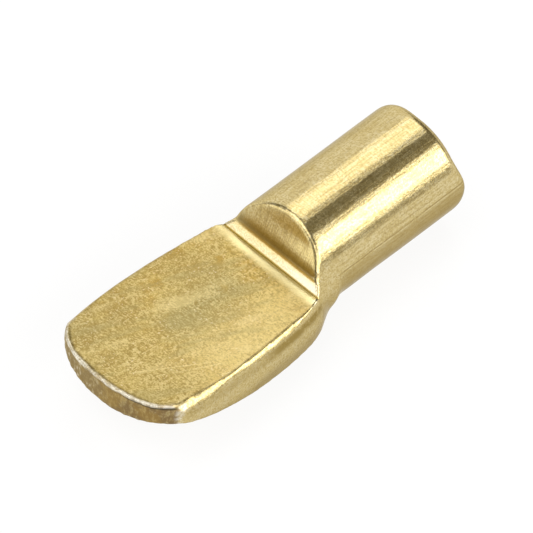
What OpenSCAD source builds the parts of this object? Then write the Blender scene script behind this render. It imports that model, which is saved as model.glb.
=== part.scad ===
// Spoon-type shelf support pin, pressed from one piece of round wire.
// The round pin goes into a hole in the cabinet side, and the shelf rests on the flat blade.
// Frame: the pin's axis is X, its free end at +X, and +Z is up, out of the shelf seat.
// The origin is on the axis, at the top of the leaning shoulder, where the pin becomes fully round.

/* [Pin] */
// Diameter of the round pin
pin_d = 6.35; // [5.5:0.05:7]
// Length of the pin from the top of the shoulder to its free end
pin_len = 9.8; // [7:0.1:14]
// Rounding of the free end's edge
pin_end_r = 0.7; // [0.3:0.1:2]

/* [Shoulder] */
// Lean of the shoulder face away from the shelf, in degrees
shoulder_lean = 19; // [5:1:30]
// Height of the bevel between the shelf seat and the shoulder face
bevel_h = 0.6; // [0.3:0.05:1]
// Length of that bevel along the pin
bevel_run = 0.45; // [0.2:0.05:0.8]
// Radius of the crease that the punch leaves at the foot of the bevel
crease_r = 0.06; // [0.03:0.01:0.15]
// How far the flare of the neck's lower half runs along the pin, past the top of the shoulder
neck_run = 0.9; // [0.4:0.1:1.5]
// Distance of the flare's upper end from the top of the shoulder, at the height of the seat
slope_at = 0.35; // [0.2:0.05:0.5]

/* [Blade] */
// Length of the blade from the top of the shoulder to the tip
blade_len = 13.1; // [10:0.1:18]
// Greatest width across the bulged sides
blade_w = 8.8; // [8.2:0.1:10]
// Distance of the widest place from the top of the shoulder
widest_at = 8.7; // [7:0.1:10]
// Radius of each side, seen from above, between the widest place and the rounded corner at the neck
side_neck_r = 48; // [30:1:100]
// Radius of each side, seen from above, between the widest place and the tip
side_tip_r = 23; // [15:1:60]
// Radius of the blade's rounded corners at the neck, seen from above
corner_r = 4.6; // [4:0.1:5.2]
// Distance of the start of those corners from the top of the shoulder
corner_at = 2.4; // [2.2:0.1:3]
// Radius of each side's bulge, seen along the blade
bulge_r = 6; // [5.5:0.1:9]
// Depth of the greatest side bulge below the pin's axis
bulge_depth = 0.9; // [0.5:0.1:1.5]

/* [Seat] */
// Height of the shelf seat above the pin's axis, at the crease
seat_h = 0.45; // [0:0.05:0.9]
// Rise of the shelf seat towards the tip, in degrees
seat_lift = 2.5; // [0:0.5:5]

/* [Tip] */
// Radius of the middle stretch of the sheared tip, seen from above
tip_r = 9.5; // [7:0.1:20]
// Width of that middle stretch
tip_mid_w = 4; // [3:0.1:5]
// How far the arcs of the sheared corners beside it would reach past the blade's widest line
tip_corner_over = 0.15; // [0.1:0.05:0.5]

/* [Belly] */
// How far the belly's lowest place hangs below the pin's underside
belly_drop = 0.075; // [0.05:0.025:0.3]
// Radius of the belly across the blade
belly_cross_r = 7.5; // [6:0.1:12]
// Radius of the belly along the blade
belly_long_r = 18; // [14:0.5:30]
// Distance of the belly's lowest place from the top of the shoulder
belly_at = 3.9; // [3:0.1:6]
// How much the wire's radius swells from the pin to the belly's lowest place
wire_swell = 0.03; // [0.01:0.01:0.04]

/* [Hidden] */
$fn = 96;

pin_r = pin_d / 2;
belly_depth = pin_r + belly_drop;
// A stretch that reaches past every surface it has to cut.
over = 4 * max(side_neck_r, side_tip_r, pin_len + blade_len);

// Foot of the shoulder face, and the crease below it at the foot of the bevel.
bevel_top_z = seat_h + bevel_h;
bevel_top_x = -(pin_r - bevel_top_z) * tan(shoulder_lean);
crease_x = bevel_top_x - bevel_run;

// Plan of one side, on -Y: the upright axes of its neck and tip stretches, and of its corner.
neck_axis = [-widest_at, side_neck_r - blade_w / 2];
tip_axis = [-widest_at, side_tip_r - blade_w / 2];
corner_turn = asin((widest_at - corner_at) / side_neck_r);
corner_axis = neck_axis + (side_neck_r - corner_r) * [sin(corner_turn), -cos(corner_turn)];

// How far a bulged side draws back from its widest line at height z.
function draw_back(z) = bulge_r - sqrt(pow(bulge_r, 2) - pow(z + bulge_depth, 2));

// Half width of the seat at the crease, which the flared neck meets there.
root_half_w = sqrt(pow(corner_r - draw_back(seat_h), 2) - pow(crease_x - corner_axis.x, 2)) - corner_axis.y;
neck_end_r = norm([root_half_w, seat_h]);
// The flare runs on inside the pin, to this share of the run it has in sight.
flare_sink = 1.25;
// Where the swelling of the wire starts, halfway along the flare.
swell_x = neck_run / 2;

// Height at which the blade stands before the seat is pressed, above the seat's highest place.
blade_top = seat_h + blade_len * tan(seat_lift) + bevel_h;

// Sheared tip: the middle arc's centre, and the corner arcs' centres where they leave it smoothly.
tip_centre_x = tip_r - blade_len;
tip_turn = asin(tip_mid_w / 2 / tip_r);
tip_corner_r = (blade_w / 2 + tip_corner_over - tip_mid_w / 2) / (1 - sin(tip_turn));
tip_corner = [tip_centre_x - (tip_r - tip_corner_r) * cos(tip_turn), (tip_r - tip_corner_r) * sin(tip_turn)];
// How far the shear reaches past the belly.
shear_over = 0.1;

// Turns a half section, drawn with X along the pin and Y as the radius, about the pin's axis.
module turn_about_pin() {
    rotate([0, 90, 0])
        rotate_extrude()
            mirror([1, -1])
                children();
}

// The round wire: the pin with its rounded end, which swells a little as it runs on into the blade.
module wire() {
    turn_about_pin() {
        polygon([
            [-belly_at, 0],
            [-belly_at, pin_r + wire_swell],
            [swell_x, pin_r],
            [pin_len - pin_end_r, pin_r],
            [pin_len - pin_end_r, 0]
        ]);
        square([pin_len, pin_r - pin_end_r]);
        translate([pin_len - pin_end_r, pin_r - pin_end_r])
            intersection() {
                circle(pin_end_r);
                square(pin_end_r);
            }
    }
}

// The flared neck: a cone that leaves the pin after neck_run and is as wide as the seat at the crease.
module neck() {
    run = neck_run - crease_x;
    rise = neck_end_r - pin_r;
    translate([crease_x, 0, 0])
        rotate([0, 90, 0])
            cylinder(h = run * flare_sink, r1 = neck_end_r, r2 = neck_end_r - rise * flare_sink);
}

// Everything above the slope that joins the pin's flank to one end of the crease.
module above_slope() {
    low_end = [crease_x, -root_half_w, seat_h];
    high_end = [bevel_top_x, -sqrt(pow(pin_r, 2) - pow(bevel_top_z, 2)), bevel_top_z];
    far_end = [-slope_at, -sqrt(pow(pin_r, 2) - pow(seat_h, 2)), seat_h];
    normal = cross(far_end - low_end, high_end - low_end);
    translate(low_end)
        intersection() {
            rotate([0, acos(normal.z / norm(normal)), atan2(normal.y, normal.x)])
                translate([-over / 2, -over / 2, 0])
                    cube(over);
            ahead();
        }
}

// A ring about an upright axis, whose outer face is one bulged stretch of a side.
module side_ring(ring_r) {
    translate([0, 0, -bulge_depth])
        rotate_extrude()
            intersection() {
                translate([ring_r - bulge_r, 0])
                    circle(bulge_r);
                translate([0, -bulge_r])
                    square([ring_r, 2 * bulge_r]);
            }
}

// The half of space with x above 0.
module ahead() {
    translate([0, -over / 2, -over / 2])
        cube(over);
}

// The half of space with x below 0.
module behind() {
    mirror([1, 0, 0])
        ahead();
}

// Everything inside one bulged side: tip stretch, neck stretch and rounded corner.
module side() {
    translate(tip_axis)
        intersection() {
            side_ring(side_tip_r);
            behind();
        }
    translate(neck_axis)
        intersection() {
            side_ring(side_neck_r);
            ahead();
            rotate(corner_turn)
                behind();
        }
    translate(corner_axis)
        intersection() {
            side_ring(corner_r);
            rotate(corner_turn)
                ahead();
        }
}

// The rounded underside, curved along and across the blade.
module belly() {
    translate([-belly_at, 0, belly_long_r - belly_depth])
        rotate([90, 0, 0])
            rotate_extrude()
                intersection() {
                    translate([belly_long_r - belly_cross_r, 0])
                        circle(belly_cross_r);
                    translate([0, -belly_cross_r])
                        square([belly_long_r, 2 * belly_cross_r]);
                }
}

// The sheared tip's outline from above, upright through the blade.
module tip_shear() {
    translate([0, 0, -belly_depth - shear_over])
        linear_extrude(belly_depth + shear_over + blade_top) {
            intersection() {
                translate([tip_centre_x, 0])
                    circle(tip_r);
                translate([-blade_len, -tip_mid_w / 2])
                    square([blade_len, tip_mid_w]);
            }
            for (edge = [-1, 1])
                translate([tip_corner.x, edge * tip_corner.y])
                    circle(tip_corner_r);
            translate([tip_corner.x, -over / 2])
                square([over, over]);
        }
}

// The flattened blade between its two sides.
module blade() {
    intersection() {
        side();
        mirror([0, 1, 0])
            side();
    }
}

// What lies below the pin's flanks: blade and neck, rounded underneath and sloped up to the pin.
module lower_half() {
    difference() {
        intersection() {
            union() {
                blade();
                neck();
            }
            belly();
            tip_shear();
        }
        above_slope();
        mirror([0, 1, 0])
            above_slope();
    }
}

// Everything that the upper punch presses away: seat, crease, bevel and leaning shoulder.
module punch() {
    rotate([90, 0, 0])
        translate([0, 0, -over / 2])
            linear_extrude(over) {
                polygon([
                    [crease_x, seat_h],
                    [bevel_top_x, bevel_top_z],
                    [bevel_top_x + over * tan(shoulder_lean), bevel_top_z + over],
                    [crease_x - over, bevel_top_z + over],
                    [crease_x - over, seat_h + over * tan(seat_lift)]
                ]);
                translate([crease_x, seat_h])
                    circle(crease_r);
            }
}

module shelf_pin() {
    color("#d6b964")
        difference() {
            union() {
                wire();
                lower_half();
            }
            punch();
        }
}

shelf_pin();
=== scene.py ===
import math
from types import SimpleNamespace
import bpy
import bmesh
import numpy as np
from mathutils import Matrix, Vector


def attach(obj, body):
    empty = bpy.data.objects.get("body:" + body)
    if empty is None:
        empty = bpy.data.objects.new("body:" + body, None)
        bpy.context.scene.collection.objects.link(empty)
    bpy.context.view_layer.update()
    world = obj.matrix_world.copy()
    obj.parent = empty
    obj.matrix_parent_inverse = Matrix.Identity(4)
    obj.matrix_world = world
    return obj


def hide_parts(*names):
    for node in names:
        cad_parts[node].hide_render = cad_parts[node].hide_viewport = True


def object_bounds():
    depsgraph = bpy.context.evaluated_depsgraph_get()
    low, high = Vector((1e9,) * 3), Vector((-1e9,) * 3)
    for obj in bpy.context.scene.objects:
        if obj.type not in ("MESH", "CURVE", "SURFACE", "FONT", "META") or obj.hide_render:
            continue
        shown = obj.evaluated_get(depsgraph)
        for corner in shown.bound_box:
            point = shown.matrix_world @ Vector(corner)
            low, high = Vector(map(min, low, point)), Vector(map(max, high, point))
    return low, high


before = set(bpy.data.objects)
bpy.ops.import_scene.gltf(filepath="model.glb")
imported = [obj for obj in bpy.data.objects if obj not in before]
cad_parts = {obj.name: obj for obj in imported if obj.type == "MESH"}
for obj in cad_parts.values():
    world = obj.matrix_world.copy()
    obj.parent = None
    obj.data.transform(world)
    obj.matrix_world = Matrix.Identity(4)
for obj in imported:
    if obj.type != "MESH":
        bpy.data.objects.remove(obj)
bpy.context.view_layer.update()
print("frame loaded:", sorted(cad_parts))

mm = 0.001

# the pressed form, in millimetres and degrees, in the frame of the solid
form = {
    "pinRadius": 3.175,
    "pinEnd": 9.8,
    "shoulderLean": 19,
    "bevelHeight": 0.6,
    "bevelRun": 0.45,
    "seatHeight": 0.45,
    "seatLift": 2.5,
    "bladeLength": 13.1,
    "bladeWidth": 8.8,
    "widestAt": 8.7,
    "sideNeckRadius": 48,
    "sideTipRadius": 23,
    "cornerRadius": 4.6,
    "cornerAt": 2.4,
    "bulgeRadius": 6,
    "bulgeDepth": 0.9,
    "tipRadius": 9.5,
    "tipMidWidth": 4,
    "tipCornerOver": 0.15,
}
lean = math.tan(math.radians(form["shoulderLean"]))
lift = math.tan(math.radians(form["seatLift"]))
bevelTopZ = form["seatHeight"] + form["bevelHeight"]
bevelTopX = -(form["pinRadius"] - bevelTopZ) * lean
creaseX = bevelTopX - form["bevelRun"]
halfBlade = form["bladeWidth"] / 2


# height of the seat at x
def seatZ(x):
    return form["seatHeight"] + (creaseX - x) * lift


# x of the punched face or bevel at height z
def punchX(z):
    onFace = -(form["pinRadius"] - z) * lean
    rise = np.maximum(z - form["seatHeight"], 0)
    onBevel = creaseX + rise * form["bevelRun"] / form["bevelHeight"]
    return np.where(z > bevelTopZ, onFace, onBevel)


# half width of the blade at x and z: tip stretch, neck stretch and rounded corner
def sideHalfWidth(x, z):
    inset = form["bulgeRadius"] - np.sqrt(form["bulgeRadius"] ** 2 - (z + form["bulgeDepth"]) ** 2)
    turn = math.asin((form["widestAt"] - form["cornerAt"]) / form["sideNeckRadius"])
    reach = form["sideNeckRadius"] - form["cornerRadius"]
    neckY = form["sideNeckRadius"] - halfBlade
    stretches = {
        "tip": (-form["widestAt"], form["sideTipRadius"] - halfBlade, form["sideTipRadius"]),
        "neck": (-form["widestAt"], neckY, form["sideNeckRadius"]),
        "corner": (
            -form["widestAt"] + reach * math.sin(turn),
            neckY - reach * math.cos(turn),
            form["cornerRadius"],
        ),
    }

    def outline(name):
        axisX, axisY, radius = stretches[name]
        return np.sqrt(np.maximum((radius - inset) ** 2 - (x - axisX) ** 2, 0)) - axisY

    cornerFrom = -form["widestAt"] + (form["sideNeckRadius"] - inset) * math.sin(turn)
    onNeck = np.where(x < cornerFrom, outline("neck"), outline("corner"))
    return np.where(x < -form["widestAt"], outline("tip"), onNeck)


# x of the sheared tip at y
def tipX(y):
    centre = form["tipRadius"] - form["bladeLength"]
    halfMiddle = form["tipMidWidth"] / 2
    turn = math.asin(halfMiddle / form["tipRadius"])
    radius = (halfBlade + form["tipCornerOver"] - halfMiddle) / (1 - math.sin(turn))
    cornerX = centre - (form["tipRadius"] - radius) * math.cos(turn)
    cornerY = (form["tipRadius"] - radius) * math.sin(turn)
    across = np.minimum(np.abs(y), halfBlade)
    middle = centre - np.sqrt(form["tipRadius"] ** 2 - across**2)
    corner = cornerX - np.sqrt(radius**2 - (across - cornerY) ** 2)
    return np.where(across < halfMiddle, middle, corner)


# the burrs that the press leaves along the edges of the seat: sizes in millimetres,
# and a thickness that varies between two shares of the half width
burrs = {
    "side": {"halfWidth": 0.045, "wander": 0.01, "sink": 0.01, "seed": 3},
    "tip": {"halfWidth": 0.115, "wander": 0.035, "sink": 0.02, "seed": 8},
    "fromCrease": 0.05,
    "tipCornerX": -11.85,
    "pathPoints": 60,
    "pointStep": 0.08,
    "wanderScale": 1.7,
    "noiseRange": (0.3, 0.7),
    "thickness": (0.75, 1.15),
    "ringPoints": 8,
}


def burrTree():
    tree = bpy.data.node_groups.new("edgeBurr", "GeometryNodeTree")
    face = tree.interface
    face.new_socket("Geometry", in_out="INPUT", socket_type="NodeSocketGeometry")
    for label, kind in (
        ("Half Width", "NodeSocketFloat"),
        ("Wander", "NodeSocketFloat"),
        ("Wander Scale", "NodeSocketFloat"),
        ("Point Step", "NodeSocketFloat"),
        ("Seed", "NodeSocketInt"),
        ("Finish", "NodeSocketMaterial"),
    ):
        face.new_socket(label, in_out="INPUT", socket_type=kind)
    face.new_socket("Geometry", in_out="OUTPUT", socket_type="NodeSocketGeometry")

    def add(kind, **settings):
        node = tree.nodes.new(kind)
        for key, value in settings.items():
            setattr(node, key, value)
        return node

    def join(source, output, target, place):
        tree.links.new(source.outputs[output], target.inputs[place])

    given, result = add("NodeGroupInput"), add("NodeGroupOutput")
    resample = add("GeometryNodeResampleCurve", mode="LENGTH")
    join(given, "Geometry", resample, "Curve")
    join(given, "Point Step", resample, "Length")

    # the path wanders a little
    position = add("GeometryNodeInputPosition")
    wobble = add("ShaderNodeTexNoise", noise_dimensions="4D")
    join(position, "Position", wobble, "Vector")
    join(given, "Seed", wobble, "W")
    join(given, "Wander Scale", wobble, "Scale")
    centred = add("ShaderNodeVectorMath", operation="SUBTRACT")
    join(wobble, "Color", centred, 0)
    centred.inputs[1].default_value = (0.5, 0.5, 0.5)
    sized = add("ShaderNodeVectorMath", operation="SCALE")
    join(centred, "Vector", sized, 0)
    join(given, "Wander", sized, "Scale")
    moved = add("GeometryNodeSetPosition")
    join(resample, "Curve", moved, "Geometry")
    join(sized, "Vector", moved, "Offset")

    # and so does the thickness of the ridge along it
    swell = add("ShaderNodeMapRange")
    join(wobble, "Fac", swell, "Value")
    for end, noise, thickness in zip(("Min", "Max"), burrs["noiseRange"], burrs["thickness"]):
        swell.inputs["From " + end].default_value = noise
        swell.inputs["To " + end].default_value = thickness
    thick = add("GeometryNodeSetCurveRadius")
    join(moved, "Geometry", thick, "Curve")
    join(swell, "Result", thick, "Radius")
    ring = add("GeometryNodeCurvePrimitiveCircle", mode="RADIUS")
    ring.inputs["Resolution"].default_value = burrs["ringPoints"]
    join(given, "Half Width", ring, "Radius")
    sweep = add("GeometryNodeCurveToMesh")
    sweep.inputs["Fill Caps"].default_value = True
    join(thick, "Curve", sweep, "Curve")
    join(ring, "Curve", sweep, "Profile Curve")
    radius = add("GeometryNodeInputRadius")
    join(radius, "Radius", sweep, "Scale")
    real = add("GeometryNodeRealizeInstances")
    join(sweep, "Mesh", real, "Geometry")
    finish = add("GeometryNodeSetMaterial")
    join(real, "Geometry", finish, "Geometry")
    join(given, "Finish", finish, "Material")
    join(finish, "Geometry", result, "Geometry")
    return tree


# one burr along a path of points, as a plain mesh
def burrMesh(tree, name, points, sizes, finish):
    curve = bpy.data.curves.new(name, "CURVE")
    curve.dimensions = "3D"
    spline = curve.splines.new("POLY")
    spline.points.add(len(points) - 1)
    for place, point in zip(spline.points, points):
        place.co = (point[0], point[1], point[2] - sizes["sink"], 1)
    path = bpy.data.objects.new(name, curve)
    bpy.context.scene.collection.objects.link(path)
    sweep = path.modifiers.new("burr", "NODES")
    sweep.node_group = tree
    values = {
        "Half Width": sizes["halfWidth"],
        "Wander": sizes["wander"],
        "Wander Scale": burrs["wanderScale"],
        "Point Step": burrs["pointStep"],
        "Seed": sizes["seed"],
        "Finish": finish,
    }
    for item in tree.interface.items_tree:
        if item.in_out == "INPUT" and item.name in values:
            sweep[item.identifier] = values[item.name]
    depsgraph = bpy.context.evaluated_depsgraph_get()
    mesh = bpy.data.meshes.new_from_object(path.evaluated_get(depsgraph))
    bpy.data.objects.remove(path)
    return mesh


def burrPaths():
    along = np.linspace(creaseX - burrs["fromCrease"], burrs["tipCornerX"], burrs["pathPoints"])
    height = seatZ(along)
    half = sideHalfWidth(along, height)
    across = np.linspace(-half[-1], half[-1], burrs["pathPoints"])
    end = tipX(across)
    return {
        "nearBurr": (np.stack([along, -half, height], 1), burrs["side"]),
        "farBurr": (np.stack([along, half, height], 1), burrs["side"]),
        "tipBurr": (np.stack([end, across, seatZ(end)], 1), burrs["tip"]),
    }


# the pressed skin, in millimetres: how finely it is meshed, and how its surfaces differ from the solid's
# a pair is where something starts and where it is full, and rounds are steps of smoothing
skin = {
    "voxel": 0.081,
    "mergeWithin": 0.0001,
    "easeRounds": 8,
    "swell": {
        "slope": 0.5,
        "at": (-12.0, -10.3, -8.2, -6.0, -3.9, -2.5, -1.2),
        "reach": (0.34, 0.3, 0.14, 0.3, 0.28, 0.1, 0.08),
        "inset": (0.23, 0.2, 0.06, 0.11, 0.12, 0.05, 0.0),
        "insetDepth": 0.25,
        "insetFrom": (0.8, 0.05),
        "farInset": 0.35,
        "pastCrease": (-0.1, 1.2),
        "outwards": (0.55, 0.95),
        "fade": (0.9, 2.6),
    },
    "evenBand": {
        "rounds": 60,
        "start": (0.1, 0.2),
        "end": (2.6, 2.0),
        "fromNeck": (-1.6, -2.4),
        "fromTip": (-12.3, -11.9),
        "outwards": (0.8, 0.9),
    },
    "rim": {"rounds": 7, "width": (0.3, 0.1), "pastCrease": 1.5},
    "lip": {"rounds": 3, "width": (0.3, 0.15)},
    "flank": {
        "rounds": 26,
        "pastPunch": (0.12, 0.4),
        "fromPin": (1.6, 1.1),
        "below": (1.5, 1.1),
        "outwards": (1.8, 2.4),
    },
    "flange": {"at": 0.15, "reach": 0.42, "depth": 0.13, "below": (0.2, -0.9), "outwards": (1.2, 2.0)},
    "shoulder": {"rounds": 14, "width": (0.3, 0.12), "above": (0.5, 0.7)},
    "crease": {
        "depth": 0.05,
        "reach": 0.08,
        "rootRise": 0.04,
        "rootReach": 0.4,
        "offSeat": (0.3, 0.1),
        "before": (0.1, -0.1),
    },
    "tear": {
        "depth": 0.1,
        "scale": 2.2,
        "fineScale": 5.06,
        "fineShare": 0.5,
        "upright": 0.35,
        "behind": (0.35, 0.05),
        "tipFrom": -10.5,
        "seed": 11,
    },
    "dents": {"depth": 0.024, "scale": 0.55, "seed": 13},
    "crop": {
        "direction": (-0.537, 0.844),  # in Y and Z, towards where the blade came from
        "cut": 0.24,
        "roll": 0.1,
        "lip": 0.2,
        "cutReach": (1.3, 0.1),
        "rollReach": (1.0, 0.3),
        "towards": (-0.4, 0.6),
        "rolledFrom": (-1.05, -0.45),
        "rolledTo": (0.85, 0.3),
        "lipFrom": (0.5, 0.95),
    },
    "punch": {
        "creaseShift": -0.05,
        "faceShift": -0.1,
        "turn": 0.038,
        "face": (0.86, 1.0),
        "fromSeat": (-3.2, -1.7),
        "fromPin": (0.9, -0.3),
        "above": (0.05, 0.4),
        "below": (2.4, 1.3),
        "bevelRounds": 10,
        "bevelWidth": (0.28, 0.12),
    },
}


def smoothStep(low, high, value):
    t = np.clip((value - low) / (high - low), 0, 1)
    return t * t * (3 - 2 * t)


# smooth value noise on a lattice, with a fixed seed
def latticeNoise(points, scale, seed):
    tableSize = 4096
    strides = np.array((73, 179, 283))  # spread the lattice over the table
    table = np.random.default_rng(seed).random(tableSize)
    cell = np.floor(points * scale).astype(int)
    t = smoothStep(0, 1, points * scale - cell)
    total = np.zeros(len(points))
    for corner in range(8):
        step = np.array([corner & 1, corner >> 1 & 1, corner >> 2 & 1])
        key = (cell + step) @ strides % tableSize
        total += table[key] * np.prod(np.where(step, t, 1 - t), axis=1)
    return total


def meshArrays(mesh):
    points = np.empty(len(mesh.vertices) * 3)
    mesh.vertices.foreach_get("co", points)
    edges = np.empty(len(mesh.edges) * 2, int)
    mesh.edges.foreach_get("vertices", edges)
    return points.reshape(-1, 3), edges.reshape(-1, 2)


# puts the points into the mesh and gives back its normals
def placePoints(mesh, points):
    mesh.vertices.foreach_set("co", points.ravel())
    mesh.update()
    normals = np.empty(len(mesh.vertices) * 3)
    mesh.vertex_normals.foreach_get("vector", normals)
    return normals.reshape(-1, 3)


def neighbourMean(values, edges):
    count = len(values)
    a, b = edges[:, 0], edges[:, 1]
    held = np.maximum(np.bincount(a, minlength=count) + np.bincount(b, minlength=count), 1)
    means = [
        (np.bincount(a, c[b], minlength=count) + np.bincount(b, c[a], minlength=count)) / held
        for c in values.reshape(count, -1).T
    ]
    return np.stack(means, axis=1).reshape(values.shape)


# smooths by the weight, and with keepSize steps back every other round, so that the form doesn't shrink
def ease(points, edges, weight, rounds, keepSize=False):
    inwards, back = 0.5, -0.52
    for turn in range(rounds):
        step = back if keepSize and turn % 2 else inwards
        points = points + (step * weight)[:, None] * (neighbourMean(points, edges) - points)
    return points


# values given at a few places, eased from one to the next
def easedBetween(value, places, amounts):
    at = np.interp(value, places, np.arange(len(places)))
    low = np.minimum(at.astype(int), len(places) - 2)
    share = smoothStep(0, 1, at - low)
    amounts = np.array(amounts)
    return amounts[low] * (1 - share) + amounts[low + 1] * share


# how far out a point lies, as a share of the blade's half width
def outShare(x, y, z):
    least = 0.1  # keeps clear of 0 past the blade's ends
    return np.abs(y) / np.maximum(sideHalfWidth(x, z), least)


# how far the seat's long edges draw in, less on the far side
def edgeInset(x, y):
    swell = skin["swell"]
    return easedBetween(x, swell["at"], swell["inset"]) * np.where(y < 0, 1, swell["farInset"])


# how far the side stands out from the solid's: it swells below its upper edge, which draws in
def sideSwell(x, y, z):
    swell = skin["swell"]
    reach = easedBetween(x, swell["at"], swell["reach"])
    below = np.maximum(seatZ(x) - z, 0)
    onSide = smoothStep(*swell["pastCrease"], creaseX - x) * smoothStep(*swell["outwards"], outShare(x, y, z))
    height = onSide * swell["slope"] * reach * (1 - np.exp(-below / reach))
    height *= 1 - smoothStep(*swell["fade"], below)
    inset = edgeInset(x, y) * np.exp(-below / swell["insetDepth"])
    inward = sideHalfWidth(x, seatZ(x)) - np.abs(y)
    return height - inset * smoothStep(*swell["insetFrom"], inward)


# the solid and its burrs as one fine, even mesh, in millimetres
def burredBlank(finish):
    raw = bmesh.new()
    raw.from_mesh(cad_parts["shelf_pin"].data)
    bmesh.ops.remove_doubles(raw, verts=raw.verts, dist=skin["mergeWithin"] * mm)
    bmesh.ops.scale(raw, vec=(1 / mm,) * 3, verts=raw.verts)
    tree = burrTree()
    for name, (points, sizes) in burrPaths().items():
        ridge = burrMesh(tree, name, points.tolist(), sizes, finish)
        raw.from_mesh(ridge)
        bpy.data.meshes.remove(ridge)
    rough = bpy.data.meshes.new("rough_pin")
    raw.to_mesh(rough)
    raw.free()
    pin = bpy.data.objects.new("pressed_pin", rough)
    bpy.context.scene.collection.objects.link(pin)
    remesh = pin.modifiers.new("skin", "REMESH")
    remesh.mode = "VOXEL"
    remesh.voxel_size = skin["voxel"]
    depsgraph = bpy.context.evaluated_depsgraph_get()
    fine = bpy.data.meshes.new_from_object(pin.evaluated_get(depsgraph))
    fine.name = "pressed_pin"
    pin.modifiers.clear()
    pin.data = fine
    bpy.data.meshes.remove(rough)
    print("pin skin:", len(fine.vertices), "points,", len(fine.polygons), "faces")
    return pin


# swells the sides and keeps the swollen band even
def swellSides(points, edges):
    x, y, z = points.T
    points[:, 1] += np.sign(y) * sideSwell(x, y, z)
    even = skin["evenBand"]
    below = seatZ(x) - z
    band = smoothStep(*even["start"], below) * smoothStep(*even["end"], below)
    band *= smoothStep(*even["fromNeck"], x) * smoothStep(*even["fromTip"], x)
    band *= smoothStep(*even["outwards"], outShare(x, y, z))
    return ease(points, edges, band, even["rounds"], keepSize=True)


# distance from the tip's upper edge
def tipEdgeGap(x, y, z):
    return np.hypot(x - tipX(y), z - seatZ(x))


# eases the edges of the seat, at the sides and at the tip
def easeSeatEdges(points, edges):
    x, y, z = points.T
    rim, lip = skin["rim"], skin["lip"]
    edgeY = sideHalfWidth(x, seatZ(x)) - edgeInset(x, y)
    onRim = smoothStep(*rim["width"], np.hypot(np.abs(y) - edgeY, z - seatZ(x)))
    onRim *= smoothStep(0, rim["pastCrease"], creaseX - x)
    points = ease(points, edges, onRim, rim["rounds"])
    onLip = smoothStep(*lip["width"], tipEdgeGap(*points.T))
    return ease(points, edges, onLip, lip["rounds"])


# the flank between pin and blade flows without an edge, with a slight flange below
def flowFlank(points, edges):
    x, y, z = points.T
    flank, flange = skin["flank"], skin["flange"]
    onFlank = smoothStep(*flank["pastPunch"], x - punchX(z)) * smoothStep(*flank["fromPin"], x)
    onFlank *= smoothStep(*flank["below"], z) * smoothStep(*flank["outwards"], np.abs(y))
    points = ease(points, edges, onFlank, flank["rounds"])
    x, y, z = points.T
    bulge = flange["depth"] * np.exp(-(((x - flange["at"]) / flange["reach"]) ** 2))
    bulge *= smoothStep(*flange["below"], z) * smoothStep(*flange["outwards"], np.abs(y))
    offAxis = np.maximum(np.hypot(y, z), skin["voxel"])
    points[:, 1:] += (bulge / offAxis)[:, None] * points[:, 1:]
    return points


# rounds the rim of the shoulder face over
def roundShoulder(points, edges):
    x, y, z = points.T
    shoulder = skin["shoulder"]
    rimGap = np.hypot(x - punchX(z), np.hypot(y, z) - form["pinRadius"])
    onRim = smoothStep(*shoulder["width"], rimGap) * smoothStep(*shoulder["above"], z)
    return ease(points, edges, onRim, shoulder["rounds"])


# the punch's crease, with the seat rising a little towards it
def pressCrease(points):
    x, y, z = points.T
    crease = skin["crease"]
    gap = np.hypot(x - creaseX, z - form["seatHeight"])
    points[:, 2] -= crease["depth"] * np.exp(-((gap / crease["reach"]) ** 2))
    onSeat = smoothStep(*crease["offSeat"], np.abs(z - seatZ(x))) * smoothStep(*crease["before"], x - creaseX)
    points[:, 2] += onSeat * crease["rootRise"] * np.exp(-gap / crease["rootReach"])


# torn metal on the sheared tip; gives back where it is
def tearTip(points):
    x, y, z = points.T
    tear = skin["tear"]
    onTip = smoothStep(*tear["behind"], x - tipX(y)) * (x < tear["tipFrom"])
    upright = points * (1, 1, tear["upright"])
    torn = latticeNoise(upright, tear["scale"], tear["seed"])
    torn += tear["fineShare"] * latticeNoise(upright, tear["fineScale"], tear["seed"] + 1)
    points[:, 0] += onTip * tear["depth"] * (torn - (1 + tear["fineShare"]) / 2)
    return onTip


# shallow unevenness of the pressed and drawn faces
def dentFaces(mesh, points):
    dents = skin["dents"]
    waves = latticeNoise(points, dents["scale"], dents["seed"]) - 0.5
    return points + placePoints(mesh, points) * (dents["depth"] * waves)[:, None]


# the cropped end of the pin: its edge is rolled over where the blade went in, with a lip beside that
def cropEnd(points):
    x, y, z = points.T
    crop = skin["crop"]
    cropY, cropZ = crop["direction"]
    towards = (cropY * y + cropZ * z) / form["pinRadius"]
    across = (cropY * z - cropZ * y) / form["pinRadius"]
    rolled = smoothStep(*crop["towards"], towards)
    rolled *= smoothStep(*crop["rolledFrom"], across) * smoothStep(*crop["rolledTo"], across)
    cut = crop["cut"] * rolled - crop["lip"] * smoothStep(*crop["lipFrom"], across)
    points[:, 0] -= smoothStep(*crop["cutReach"], form["pinEnd"] - x) * cut
    rolled *= crop["roll"] * smoothStep(*crop["rollReach"], form["pinEnd"] - x)
    points[:, 1:] -= (rolled * np.clip(towards, 0, 1))[:, None] * (cropY, cropZ)


# the punch came down a little askew, which moves crease, bevel and shoulder face
def skewPunch(points, edges):
    x, y, z = points.T
    punch = skin["punch"]
    pressed = smoothStep(*punch["fromSeat"], x) * smoothStep(*punch["fromPin"], x)
    pressed *= smoothStep(*punch["above"], z) * smoothStep(*punch["below"], z)
    onFace = smoothStep(*punch["face"], z)
    shift = punch["creaseShift"] + (punch["faceShift"] - punch["creaseShift"]) * onFace
    points[:, 0] += pressed * (shift + punch["turn"] * y)
    onBevelTop = smoothStep(*punch["bevelWidth"], np.hypot(x - bevelTopX, z - bevelTopZ))
    return ease(points, edges, onBevelTop, punch["bevelRounds"])


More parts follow.
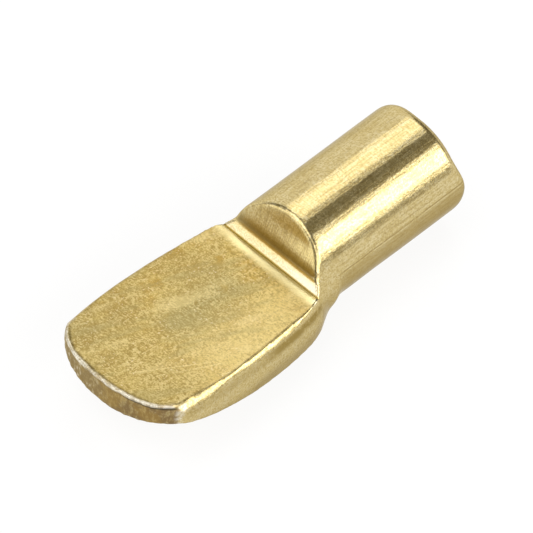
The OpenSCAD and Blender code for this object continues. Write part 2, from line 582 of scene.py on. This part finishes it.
# where the finish changes: within is the distance from a surface of the solid, in millimetres,
# and facing the least share of the normal that points up, to the tip or to the pin's end
marks = {
    "seat": {"within": 0.16, "facing": 0.85},
    "face": {"within": 0.14, "facing": 0.8, "belowBevelTop": 0.05},
    "bevel": {"within": 0.13, "facing": 0.5},
    "torn": {"facing": 0.25, "cornerEnd": (4.05, 3.9)},
    "cropped": {"fromEnd": 1, "facing": 0.6},
    "corner": {"at": 4.0, "tipFrom": -11},
    "lip": (0.17, 0.06),
    "root": {"width": (0.8, 0.35), "fromCrease": 0.04, "above": 0.2, "facing": 0.5},
    "softening": 0.6,
    "softRounds": 2,
    "bendRounds": 3,
    "farOff": 9,
}


# gives each point the values that the finish reads
def markPoints(mesh, points, edges, onTip):
    normals = placePoints(mesh, points)
    x, y, z = points.T
    endwards, upwards = normals[:, 0], normals[:, 2]
    tipwards = -endwards
    offPunch, offSeat = np.abs(x - punchX(z)), np.abs(z - seatZ(x))
    creaseGap = np.hypot(x - creaseX, z - form["seatHeight"])

    bend = np.einsum("ij,ij->i", points - neighbourMean(points, edges), normals)
    for turn in range(marks["bendRounds"]):
        bend = (bend + neighbourMean(bend, edges)) / 2

    def near(name, gap, facing):
        return (gap < marks[name]["within"]) * (facing > marks[name]["facing"])

    seat = near("seat", offSeat, upwards) * (x < creaseX)
    face = near("face", offPunch, tipwards) * (z > bevelTopZ - marks["face"]["belowBevelTop"])
    bevel = near("bevel", offPunch, tipwards) * (z > form["seatHeight"]) * (z < bevelTopZ)
    torn = onTip * (tipwards > marks["torn"]["facing"]) * smoothStep(*marks["torn"]["cornerEnd"], np.abs(y))
    cropped = (x > form["pinEnd"] - marks["cropped"]["fromEnd"]) * (endwards > marks["cropped"]["facing"])
    values = {"seat": seat, "face": face, "bevel": bevel, "torn": torn, "cropped": cropped}
    for name, mask in values.items():
        soft = mask.astype(float)
        for turn in range(marks["softRounds"]):
            soft += marks["softening"] * (neighbourMean(soft, edges) - soft)
        values[name] = soft

    corner, root = marks["corner"], marks["root"]
    edgeGap = sideHalfWidth(x, seatZ(x)) - edgeInset(x, y) - np.abs(y)  # inwards from the seat's long edges
    cornerGap = np.abs(np.abs(y) - corner["at"])
    onRoot = (x < creaseX - root["fromCrease"]) * (z > root["above"]) * (upwards > root["facing"])
    values["bend"] = bend / skin["voxel"]
    values["edgeGap"] = np.where(x < creaseX, edgeGap, marks["farOff"])
    values["cornerGap"] = np.where(x < corner["tipFrom"], cornerGap, marks["farOff"])
    values["creaseGap"] = creaseGap
    values["lip"] = smoothStep(*marks["lip"], tipEdgeGap(x, y, z))
    # where the seat takes its painted highlight beside the crease
    values["root"] = onRoot * smoothStep(*root["width"], creaseGap)
    for name, value in values.items():
        layer = mesh.attributes.new(name, "FLOAT", "POINT")
        layer.data.foreach_set("value", value.astype(np.float32))


def pressedPin(finish):
    pin = burredBlank(finish)
    mesh = pin.data
    points, edges = meshArrays(mesh)
    points = ease(points, edges, np.ones(len(points)), skin["easeRounds"], keepSize=True)
    points = swellSides(points, edges)
    points = easeSeatEdges(points, edges)
    points = flowFlank(points, edges)
    points = roundShoulder(points, edges)
    pressCrease(points)
    onTip = tearTip(points)
    points = dentFaces(mesh, points)
    cropEnd(points)
    markPoints(mesh, points, edges, onTip)
    points = skewPunch(points, edges)
    mesh.vertices.foreach_set("co", points.ravel())
    mesh.transform(Matrix.Scale(mm, 4))
    mesh.shade_smooth()
    mesh.materials.clear()
    mesh.materials.append(finish)
    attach(pin, "root")
    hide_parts("shelf_pin")
    return pin


class Value:  # a shader socket that plain arithmetic works on
    def __init__(self, tree, socket):
        self.tree = tree
        self.socket = socket

    def math(self, operation, other=None, swap=False):
        node = self.tree.nodes.new("ShaderNodeMath")
        node.operation = operation
        terms = [self] if other is None else [self, other]
        for place, term in zip(node.inputs, reversed(terms) if swap else terms):
            if isinstance(term, Value):
                self.tree.links.new(term.socket, place)
            else:
                place.default_value = term
        return Value(self.tree, node.outputs[0])

    def __add__(self, other):
        return self.math("ADD", other)

    __radd__ = __add__

    def __sub__(self, other):
        return self.math("SUBTRACT", other)

    def __rsub__(self, other):
        return self.math("SUBTRACT", other, swap=True)

    def __mul__(self, other):
        return self.math("MULTIPLY", other)

    __rmul__ = __mul__

    def __truediv__(self, other):
        return self.math("DIVIDE", other)

    def __rtruediv__(self, other):
        return self.math("DIVIDE", other, swap=True)

    def size(self):
        return self.math("ABSOLUTE")


class Nodes:  # a shader tree and the nodes that make it up
    def __init__(self, tree):
        self.tree = tree
        self.tree.nodes.clear()

    def node(self, kind, settings=None, sockets=None, out=0):
        made = self.tree.nodes.new("ShaderNode" + kind)
        for key, value in (settings or {}).items():
            setattr(made, key, value)
        for key, value in (sockets or {}).items():
            place = made.inputs[key]
            if isinstance(value, Value):
                self.tree.links.new(value.socket, place)
            else:
                place.default_value = value
        return Value(self.tree, made.outputs[out])

    def step(self, value, low, high):
        sockets = {"Value": value, "From Min": low, "From Max": high}
        return self.node("MapRange", {"interpolation_type": "SMOOTHSTEP"}, sockets)

    def band(self, value, rise, fall):
        return self.step(value, *rise) * (1 - self.step(value, *fall))

    def mix(self, share, first, second):
        settings = {"data_type": "RGBA", "blend_type": "MIX"}
        return self.node("Mix", settings, {0: share, 6: first, 7: second}, out=2)

    def noise(self, coords, scale, detail, roughness=0.55, turn=0, stretch=(1, 1, 1)):
        turned = {"Vector": coords, "Rotation": (0, 0, math.radians(turn))}
        stretched = {"Vector": self.node("Mapping", None, turned), "Scale": stretch}
        placed = self.node("Mapping", None, stretched)
        sockets = {"Vector": placed, "Scale": scale, "Detail": detail, "Roughness": roughness}
        return self.node("TexNoise", None, sockets)

    def attribute(self, name):
        return self.node("Attribute", {"attribute_name": name}, out=2)

    def finish(self, kind, surface):
        output = self.tree.nodes.new("ShaderNodeOutput" + kind)
        self.tree.links.new(surface.socket, output.inputs["Surface"])


# satin brass plating: colours are linear, places in millimetres, pattern scales per millimetre
# a pair is the range, of a place or of a pattern's value, over which a tone comes in or goes out
plating = {
    "gold": (0.62, 0.49, 0.215, 1),
    "paleGold": (0.76, 0.66, 0.40, 1),
    "brownGold": (0.34, 0.24, 0.08, 1),
    "seatGold": (0.64, 0.475, 0.15, 1),
    "seatPale": (0.84, 0.69, 0.33, 1),
    "seatBrown": (0.34, 0.24, 0.07, 1),
    "seatRust": (0.50, 0.315, 0.06, 1),
    "seatOlive": (0.38, 0.31, 0.125, 1),
    "paleSheenAndScratch": (1.0, 0.88, 0.47, 1),
    "facePaleAndSheen": (0.84, 0.70, 0.32, 1),
    "worn": (0.90, 0.86, 0.74, 1),
    "tornBrown": (0.26, 0.175, 0.075, 1),
    "hollowShadeBrown": (0.205, 0.145, 0.045, 1),
    "creaseShadeGold": (0.30, 0.19, 0.012, 1),
    "lipShadow": (0.05, 0.04, 0.025, 1),
    "edgeTint": (0.71, 0.66, 0.54, 1),
    "coat": 0.05,
    "coatRoughness": 0.2,
    "patterns": {
        "grain": {"scale": 5.0, "detail": 4, "roughness": 0.65},
        "fineGrain": {"scale": 11, "detail": 2},
        "dashes": {"scale": 11, "detail": 2, "stretch": (1, 0.35, 1)},
        "blotch": {"scale": 1.5, "detail": 4, "roughness": 0.6},
        "patch": {"scale": 0.9, "detail": 4, "roughness": 0.65},
        "cloud": {"scale": 0.38, "detail": 2},
        "sweep": {"scale": 1.1, "detail": 3, "turn": 22, "stretch": (0.2, 1, 1)},
        "drawn": {"scale": 9, "detail": 3, "stretch": (0.06, 1, 1)},
        "brushed": {"scale": 18, "detail": 3, "roughness": 0.6, "stretch": (0.1, 1, 0.07)},
        "shreds": {"scale": 4.5, "detail": 4, "roughness": 0.65, "stretch": (1, 1, 0.55)},
    },
    "speck": {"grain": 0.3, "fineGrain": 0.4, "dashes": 0.3},
    "clouds": {"blotch": 0.6},
    "side": (-0.12, -0.02),
    "rust": {"patch": (0.43, 0.62), "share": 0.6, "far": (-0.5, 2.5), "farMore": 0.4},
    "middleShade": {
        "at": 0.3,
        "halfWidth": 1.5,
        "start": (2.2, 4.0),
        "end": (7.5, 10),
        "clouds": (0.3, 0.8),
        "share": 0.95,
    },
    "farShade": {
        "far": (0.2, 3.0),
        "farShare": 0.56,
        "tip": (7.5, 10),
        "tipShare": 0.4,
        "clouds": (0.35, 0.95),
    },
    "tipShade": {"tip": (8.0, 11.5), "share": 0.35},
    "paleSpecks": {"speck": (0.47, 0.59), "blotch": 0.2, "share": 0.6, "seatLess": 0.1},
    "brownSpecks": {
        "speck": (0.41, 0.51),
        "share": 0.4,
        "seatMore": 0.4,
        "tip": (7.5, 10.5),
        "tipMore": 0.2,
    },
    "nearLight": {"near": (0.2, 2.6), "fromTip": (-11.5, -7.5), "share": 0.25},
    "sweeps": {"dark": (0.36, 0.5), "darkShare": 0.4, "pale": (0.53, 0.68), "paleShare": 0.3},
    "flecks": {"fineGrain": (0.64, 0.72), "patch": (0.48, 0.58), "share": 0.5},
    "root": {"share": 0.85, "blotch": 0.6, "far": (1.0, 3.5), "farLess": 0.5},
    "underside": {
        "down": (-0.5, 0.6),
        "share": 0.2,
        "blotch": (0.38, 0.68),
        "blotchShare": 0.3,
        "belt": (0.6, 1.0),
        "beltEnd": (1.4, 1.9),
        "beltLess": 0.8,
    },
    "strip": {
        "start": (0.22, 0.42),
        "end": (0.6, 0.95),
        "neck": (-6.5, -4.5),
        "share": 0.35,
        "neckMore": 0.65,
        "texture": (0.7, 1.05),
    },
    "lowSideShade": {"drop": (1.5, 2.3), "tip": (7.5, 11), "tipHigher": 0.65, "share": 0.4},
    "scratches": {
        "lines": (
            {"scale": 0.6, "detail": 1, "turn": 31, "stretch": (0.05, 1, 0.05)},
            {"scale": 0.45, "detail": 1, "turn": 8, "stretch": (0.05, 1, 0.05)},
        ),
        "width": (0.0015, 0.006),
        "tip": (4.5, 6.5),
        "patch": (0.48, 0.58),
        "share": 0.4,
    },
    "pin": {
        "start": (0.2, 1.2),
        "pale": (0.52, 0.66),
        "brown": (0.34, 0.46),
        "streakShare": 0.4,
        "shadeFrom": 0.2,
        "shadeShare": 0.45,
    },
    "parting": {
        "height": 0.48,
        "wander": 0.12,
        "width": (0.02, 0.07),
        "grain": (0.34, 0.48),
        "share": 0.8,
    },
    "face": {
        "pale": 0.1,
        "near": (-0.2, 2.2),
        "nearSheen": 0.5,
        "brown": 0.25,
        "striation": (0.4, 0.55),
        "striationShare": 0.45,
        "foot": (1.0, 1.8),
        "footWander": 0.3,
        "footShare": 0.85,
    },
    "bevel": {
        "worn": 0.15,
        "near": (-0.5, 2.5),
        "nearBevelSheen": 0.35,
        "gold": (0.65, 0.95),
        "goldShare": 0.3,
        "goldBlotch": 0.6,
        "top": (0.88, 1.04),
        "topShare": 0.6,
    },
    "torn": {
        "share": 0.75,
        "near": (-1.5, 2.5),
        "nearMore": 0.25,
        "shreds": (0.44, 0.64),
        "shredsLess": 0.5,
        "pale": (0.54, 0.66),
        "paleFar": (-1.0, 2.0),
        "paleShare": 0.4,
        "rust": (0.46, 0.6),
        "rustShare": 0.3,
    },
    "lip": {
        "share": 0.25,
        "texture": (0.85, 1.15),
        "textureShare": 0.5,
        "shadow": (0.06, 0.12),
        "shadowEnd": (0.18, 0.28),
        "shadowNear": (0.8, 2.0),
        "shadowShare": 0.8,
    },
    "cropped": {"shreds": (0.4, 0.58), "share": 0.45},
    "wear": {
        "bend": (0.035, 0.16),
        "grain": (0.28, 0.55),
        "corner": (0.02, 0.22),
        "cornerGrain": (0.36, 0.62),
        "cornerShare": 0.6,
        "share": 0.9,
    },
    "crease": {"width": (0.03, 0.09), "share": 0.85},
    "shadeInsideBurr": {
        "start": (-0.02, 0.03),
        "end": (0.06, 0.12),
        "above": (0.2, 0.4),
        "share": 0.12,
        "near": (2.0, 3.0),
        "neck": (-10.5, -5.0),
        "nearMore": 0.35,
    },
    "roughness": {
        "plain": 0.22,
        "seat": 0.22,
        "torn": 0.3,
        "root": -0.13,
        "cropped": 0.15,
        "side": 0.06,
        "grain": 0.16,
        "blotch": 0.1,
    },
    "bump": {
        "depth": 0.011,
        "grain": 0.5,
        "fineGrain": 0.45,
        "sideLess": 0.6,
        "drawn": 0.4,
        "brushed": 0.6,
        "shreds": 0.9,
        "parting": 0.5,
    },
}


# what the layers of the finish share: places, marks of the mesh and patterns
def surfaceValues(f):
    coords = f.node("Mapping", None, {"Vector": f.node("TexCoord", out=3), "Scale": (1 / mm,) * 3})
    s = SimpleNamespace(coords=coords)
    s.x, s.y, s.z = (f.node("SeparateXYZ", None, {0: coords}, out=place) for place in range(3))
    s.tipwards, s.nearwards, s.down = s.x * -1, s.y * -1, s.z * -1
    s.drop = seatZ(s.x) - s.z
    for name in ("seat", "face", "bevel", "torn", "cropped", "bend", "lip"):
        setattr(s, name, f.attribute(name))
    for name in ("edgeGap", "cornerGap", "creaseGap"):
        setattr(s, name, f.attribute(name))
    for name, pattern in plating["patterns"].items():
        setattr(s, name, f.noise(coords, **pattern))
    root, parting, pin = plating["root"], plating["parting"], plating["pin"]
    s.root = f.attribute("root") * (1 - root["farLess"] * f.step(s.y, *root["far"]))
    s.side = 1 - f.step(s.edgeGap, *plating["side"])
    s.speck = sum(share * getattr(s, name) for name, share in plating["speck"].items())
    s.clouds = s.cloud + plating["clouds"]["blotch"] * s.blotch
    s.texture = s.grain + s.blotch
    s.onPin = f.step(s.x, *pin["start"]) * (1 - s.cropped)
    lineGap = (s.z - parting["height"] - parting["wander"] * (s.blotch - 0.5)).size()
    s.parting = s.onPin * (1 - f.step(lineGap, *parting["width"])) * f.step(s.grain, *parting["grain"])
    s.pale = f.mix(s.seat, plating["paleGold"], plating["seatPale"])
    s.brown = f.mix(s.seat, plating["brownGold"], plating["seatBrown"])
    return s


# mottled gold, deeper and more speckled on the seat, with a painted highlight beside the crease
def mottledGold(f, s):
    rust, middle = plating["rust"], plating["middleShade"]
    far, tip = plating["farShade"], plating["tipShade"]
    pale, brown, light = plating["paleSpecks"], plating["brownSpecks"], plating["nearLight"]
    sweeps, flecks, root = plating["sweeps"], plating["flecks"], plating["root"]

    colour = f.mix(s.seat, plating["gold"], plating["seatGold"])
    share = rust["share"] + rust["farMore"] * f.step(s.y, *rust["far"])
    colour = f.mix(s.seat * f.step(s.patch, *rust["patch"]) * share, colour, plating["seatRust"])
    across = (s.y - middle["at"]) / middle["halfWidth"]
    share = f.band(s.tipwards, middle["start"], middle["end"]) * middle["share"] / (1 + across * across)
    colour = f.mix(s.seat * share * f.step(s.clouds, *middle["clouds"]), colour, plating["seatOlive"])
    share = far["farShare"] * f.step(s.y, *far["far"]) + far["tipShare"] * f.step(s.tipwards, *far["tip"])
    colour = f.mix(s.seat * share * f.step(s.clouds, *far["clouds"]), colour, s.brown)
    colour = f.mix(s.seat * f.step(s.tipwards, *tip["tip"]) * tip["share"], colour, plating["seatOlive"])

    specks = (1 - pale["blotch"]) * s.speck + pale["blotch"] * s.blotch
    share = pale["share"] - pale["seatLess"] * s.seat
    colour = f.mix(f.step(specks, *pale["speck"]) * share, colour, s.pale)
    onSeat = brown["seatMore"] + brown["tipMore"] * f.step(s.tipwards, *brown["tip"])
    share = brown["share"] + s.seat * onSeat
    colour = f.mix((1 - f.step(s.speck, *brown["speck"])) * share, colour, s.brown)
    lit = f.step(s.nearwards, *light["near"]) * f.step(s.x, *light["fromTip"])
    colour = f.mix(s.seat * lit * light["share"], colour, s.pale)
    dark = (1 - f.step(s.sweep, *sweeps["dark"])) * sweeps["darkShare"]
    colour = f.mix(s.seat * dark, colour, plating["seatOlive"])
    colour = f.mix(s.seat * f.step(s.sweep, *sweeps["pale"]) * sweeps["paleShare"], colour, s.pale)
    bright = f.step(s.fineGrain, *flecks["fineGrain"]) * f.step(s.patch, *flecks["patch"])
    colour = f.mix(s.seat * bright * flecks["share"], colour, plating["worn"])
    # painted highlight: a pale band on the seat beside the crease
    share = root["share"] + root["blotch"] * (s.blotch - 0.5)
    return f.mix(s.root * share, colour, plating["paleSheenAndScratch"])


# painted shade below the sides: a brown strip of painted shade under the bright edge of each side, and more
# painted shade towards the belly
def paintedSideShade(f, s, colour):
    under, strip, low = plating["underside"], plating["strip"], plating["lowSideShade"]
    # painted shade: darker towards the bottom, less in a belt below the bright edge
    share = under["share"] + under["blotchShare"] * f.step(s.blotch, *under["blotch"])
    belt = s.side * f.band(s.drop, under["belt"], under["beltEnd"])
    share = f.step(s.down, *under["down"]) * share * (1 - under["beltLess"] * belt)
    colour = f.mix(share, colour, s.brown)
    # painted shade: a brown strip under the bright band of each side
    share = strip["share"] + strip["neckMore"] * f.step(s.x, *strip["neck"])
    share = share * f.band(s.drop, strip["start"], strip["end"]) * f.step(s.texture, *strip["texture"])
    colour = f.mix(s.side * share, colour, plating["seatBrown"])
    # painted shade: the low part of each side darkened, reaching higher near the tip
    depth = s.drop + low["tipHigher"] * f.step(s.tipwards, *low["tip"])
    return f.mix(s.side * f.step(depth, *low["drop"]) * low["share"], colour, s.brown)


def faintScratches(f, s, colour):
    scratches = plating["scratches"]
    where = f.step(s.tipwards, *scratches["tip"]) * f.step(s.patch, *scratches["patch"])
    for line in scratches["lines"]:
        gap = (f.noise(s.coords, **line) - 0.5).size()
        share = (1 - f.step(gap, *scratches["width"])) * where * scratches["share"]
        colour = f.mix(s.seat * share, colour, plating["paleSheenAndScratch"])
    return colour


# drawn streaks along the pin, with painted shade that darkens it below the press's parting line
def pinStreaks(f, s, colour):
    pin, parting = plating["pin"], plating["parting"]
    pale = s.onPin * f.step(s.drawn, *pin["pale"])
    colour = f.mix(pale * pin["streakShare"], colour, s.pale)
    brown = s.onPin * (1 - f.step(s.drawn, *pin["brown"]))
    colour = f.mix(brown * pin["streakShare"], colour, s.brown)
    # painted shade: the pin's lower flank darkened below the parting line
    shadedLow = s.onPin * (1 - f.step(s.z, pin["shadeFrom"], parting["height"]))
    colour = f.mix(shadedLow * pin["shadeShare"], colour, plating["brownGold"])
    return f.mix(s.parting * parting["share"], colour, plating["brownGold"])


# fine striations of the shoulder face, painted shade at its foot and along the top of the bevel, a painted
# highlight towards the near side of both, and the bright bevel below it
def shoulderTones(f, s, colour):
    face, bevel = plating["face"], plating["bevel"]
    # pale tone on the shoulder face, with a painted highlight that grows towards the near side
    share = face["pale"] + face["nearSheen"] * f.step(s.nearwards, *face["near"])
    colour = f.mix(s.face * share, colour, plating["facePaleAndSheen"])
    colour = f.mix(s.face * face["brown"], colour, s.brown)
    striation = 1 - f.step(s.brushed, *face["striation"])
    colour = f.mix(s.face * striation * face["striationShare"], colour, s.brown)
    # painted shade: the foot of the shoulder face darkened where it meets the bevel
    foot = 1 - f.step(s.z + face["footWander"] * (s.blotch - 0.5), *face["foot"])
    colour = f.mix(s.face * foot * face["footShare"], colour, plating["hollowShadeBrown"])
    # worn pale bevel, with a painted highlight that grows towards the near side
    share = bevel["worn"] + bevel["nearBevelSheen"] * f.step(s.nearwards, *bevel["near"])
    colour = f.mix(s.bevel * share, colour, plating["worn"])
    share = bevel["goldShare"] + bevel["goldBlotch"] * s.blotch
    colour = f.mix(s.bevel * f.step(s.z, *bevel["gold"]) * share, colour, plating["seatGold"])
    # painted shade: the top of the bevel darkened where it meets the shoulder face
    return f.mix(s.bevel * f.step(s.z, *bevel["top"]) * bevel["topShare"], colour, plating["hollowShadeBrown"])


# torn tip with its pale lip, and the cropped end of the pin
def brokenMetal(f, s, colour):
    torn, lip, cropped = plating["torn"], plating["lip"], plating["cropped"]
    share = torn["share"] + torn["nearMore"] * f.step(s.nearwards, *torn["near"])
    share = share * (1 - torn["shredsLess"] * f.step(s.shreds, *torn["shreds"]))
    colour = f.mix(s.torn * share, colour, plating["tornBrown"])
    share = f.step(s.shreds, *torn["pale"]) * f.step(s.y, *torn["paleFar"]) * torn["paleShare"]
    colour = f.mix(s.torn * share, colour, plating["worn"])
    colour = f.mix(s.torn * f.step(s.patch, *torn["rust"]) * torn["rustShare"], colour, plating["seatRust"])
    shadow = f.band(s.drop, lip["shadow"], lip["shadowEnd"]) * f.step(s.nearwards, *lip["shadowNear"])
    colour = f.mix(s.torn * shadow * lip["shadowShare"], colour, plating["lipShadow"])
    share = lip["share"] + lip["textureShare"] * f.step(s.texture, *lip["texture"])
    colour = f.mix(s.lip * share, colour, plating["worn"])
    share = (1 - f.step(s.shreds, *cropped["shreds"])) * cropped["share"]
    return f.mix(s.cropped * share, colour, s.brown)


# worn edges, painted shade in the crease and a painted shade line inside the burr
def edgeTones(f, s, colour):
    wear, crease, inside = plating["wear"], plating["crease"], plating["shadeInsideBurr"]
    edge = f.step(s.bend, *wear["bend"]) * f.step(s.grain, *wear["grain"])
    corner = (1 - f.step(s.cornerGap, *wear["corner"])) * f.step(s.grain, *wear["cornerGrain"])
    share = edge.math("MAXIMUM", corner * wear["cornerShare"]) * wear["share"]
    colour = f.mix(share, colour, plating["worn"])
    # painted shade: a dark line along the punch's crease
    share = (1 - f.step(s.creaseGap, *crease["width"])) * crease["share"]
    colour = f.mix(share, colour, plating["creaseShadeGold"])
    # painted shade: a dark line just inside the seat's long edges, at the foot of the burr
    line = f.band(s.edgeGap, inside["start"], inside["end"]) * f.step(s.z, *inside["above"])
    near = f.step(s.nearwards, *inside["near"]) * f.step(s.x, *inside["neck"])
    share = inside["share"] + inside["nearMore"] * near
    return f.mix(line * share, colour, plating["hollowShadeBrown"])


def brassPlate():
    material = bpy.data.materials.new("brass_plate")
    material.use_nodes = True
    f = Nodes(material.node_tree)
    s = surfaceValues(f)
    colour = mottledGold(f, s)
    for layer in (paintedSideShade, faintScratches, pinStreaks, shoulderTones, brokenMetal, edgeTones):
        colour = layer(f, s, colour)

    rough, bump = plating["roughness"], plating["bump"]
    roughness = rough["plain"] + rough["grain"] * (s.grain - 0.5) + rough["blotch"] * (s.blotch - 0.5)
    for name in ("seat", "torn", "root", "cropped", "side"):
        roughness = roughness + rough[name] * getattr(s, name)
    grains = bump["grain"] * s.grain + bump["fineGrain"] * s.fineGrain
    height = (
        grains * (1 - bump["sideLess"] * s.side)
        + bump["drawn"] * s.drawn
        + bump["brushed"] * s.face * s.brushed
        + bump["shreds"] * (s.torn + s.cropped) * s.shreds
        - bump["parting"] * s.parting
    )
    sockets = {
        "Base Color": colour,
        "Metallic": 1.0,
        "Specular Tint": plating["edgeTint"],
        "Roughness": roughness,
        "Normal": f.node("Bump", None, {"Height": height, "Distance": bump["depth"] * mm, "Strength": 1.0}),
        "Coat Weight": plating["coat"],
        "Coat Roughness": plating["coatRoughness"],
    }
    f.finish("Material", f.node("BsdfPrincipled", None, sockets))
    return material


brass = brassPlate()
pin = pressedPin(brass)
print("pin made and plated")

# studio: pale floor under a dim tent with soft panels, each a direction with its full and outer angle
studio = {
    "floorSize": 3.0,
    "floorColour": (0.86, 0.86, 0.86, 1),
    "floorGlow": 0.84,
    "glowColour": (1, 1, 1, 1),
    "glowLevel": 1.03,
    "horizon": 0.3,
    "zenith": 0.25,
    "zenithFrom": (0.1, 0.5),
    "dimColour": (0.8, 0.745, 0.59, 1),
    "panelColour": (0.8, 0.8, 0.8, 1),
    "panelFrom": (0.3, 0.9),
    "panels": {
        "backWall": {"towards": (0.48, 0.80, 0.33), "full": 22, "outer": 32, "level": 1.08},
        "key": {"towards": (0.48, 0.30, 0.822), "full": 14.5, "outer": 19.3, "level": 2.2},
        "front": {"towards": (0.48, -0.735, 0.477), "full": 12, "outer": 19.5, "level": 3.5},
        "frontHaze": {"towards": (0.48, -0.64, 0.60), "full": 8, "outer": 30, "level": 0.13},
        "frontSide": {"towards": (0.74, -0.58, 0.34), "full": 10, "outer": 20, "level": 2.5},
        "frontLeft": {"towards": (-0.47, -0.70, 0.45), "full": 16, "outer": 28, "level": 2.5},
        "frontMid": {"towards": (0.0, -0.93, 0.36), "full": 14, "outer": 26, "level": 2.5},
        "left": {"towards": (-0.85, 0.47, 0.25), "full": 14, "outer": 24, "level": 1.9},
        "far": {"towards": (-0.25, 0.96, 0.06), "full": 12, "outer": 24, "level": 1.2},
        "overhead": {"towards": (-0.45, 0.15, 0.88), "full": 18, "outer": 32, "level": 2.6},
    },
}


# seen straight or in metal the floor is almost white, and it keeps the pin's shadow
def floorFinish():
    material = bpy.data.materials.new("floor")
    material.use_nodes = True
    f = Nodes(material.node_tree)
    path = f.tree.nodes.new("ShaderNodeLightPath")
    kinds = ("Is Camera Ray", "Is Glossy Ray", "Is Transmission Ray")
    camera, glossy, through = (Value(f.tree, path.outputs[name]) for name in kinds)
    direct = (camera + glossy + through).math("MINIMUM", 1.0)
    plain = f.node("BsdfDiffuse", None, {"Color": studio["floorColour"]})
    glow = f.node("Emission", None, {"Color": studio["glowColour"], "Strength": studio["glowLevel"]})
    share = direct * studio["floorGlow"]
    f.finish("Material", f.node("MixShader", None, {0: share, 1: plain, 2: glow}))
    return material


def makeFloor():
    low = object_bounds()[0].z
    half = studio["floorSize"] / 2
    mesh = bpy.data.meshes.new("floor")
    corners = [(-half, -half, low), (half, -half, low), (half, half, low), (-half, half, low)]
    mesh.from_pydata(corners, [], [(0, 1, 2, 3)])
    mesh.materials.append(floorFinish())
    floor = bpy.data.objects.new("floor", mesh)
    bpy.context.scene.collection.objects.link(floor)


def makeWorld():
    world = bpy.data.worlds.new("tent")
    bpy.context.scene.world = world
    world.use_nodes = True
    f = Nodes(world.node_tree)
    direction = f.node("TexCoord", out=0)
    height = f.node("SeparateXYZ", None, {0: direction}, out=2)
    rise = studio["zenith"] - studio["horizon"]
    level = studio["horizon"] + rise * f.step(height, *studio["zenithFrom"])
    for panel in studio["panels"].values():
        sockets = {0: direction, 1: Vector(panel["towards"]).normalized()}
        facing = f.node("VectorMath", {"operation": "DOT_PRODUCT"}, sockets, out=1)
        outer, full = (math.cos(math.radians(panel[edge])) for edge in ("outer", "full"))
        level = level + panel["level"] * f.step(facing, outer, full)
    lit = f.step(level, *studio["panelFrom"])
    colour = f.mix(lit, studio["dimColour"], studio["panelColour"])
    f.finish("World", f.node("Background", None, {"Color": colour, "Strength": level}))


makeFloor()
makeWorld()
print("studio lit")

# the photograph's view, from the fitted camera, in degrees, metres and pixels
shot = {
    "azimuth": -45.656,
    "elevation": 47.71,
    "roll": 0.416,
    "pixelsPerMm": 19.952,
    "distance": 0.5,
    "target": (-0.00134, 0.000164, 0.0),
    "picture": 533,
    "sensor": 36,
    "clip": (0.01, 10),
}


def makeCamera():
    turn, rise, roll = (math.radians(shot[name]) for name in ("azimuth", "elevation", "roll"))
    back = Vector((math.sin(turn) * math.cos(rise), -math.cos(turn) * math.cos(rise), math.sin(rise)))
    right = (-back).cross(Vector((0, 0, 1))).normalized()
    up = right.cross(-back)
    across = right * math.cos(roll) + up * math.sin(roll)
    upright = up * math.cos(roll) - right * math.sin(roll)
    lens = bpy.data.cameras.new("camera")
    lens.sensor_width = shot["sensor"]
    lens.lens = shot["pixelsPerMm"] / mm * shot["distance"] / shot["picture"] * shot["sensor"]
    lens.clip_start, lens.clip_end = shot["clip"]
    camera = bpy.data.objects.new("camera", lens)
    bpy.context.scene.collection.objects.link(camera)
    place = Matrix.Translation(Vector(shot["target"]) + back * shot["distance"])
    camera.matrix_world = place @ Matrix((across, upright, back)).transposed().to_4x4()
    bpy.context.scene.camera = camera


makeCamera()
bpy.context.scene.view_settings.view_transform = "Standard"
print("camera set")
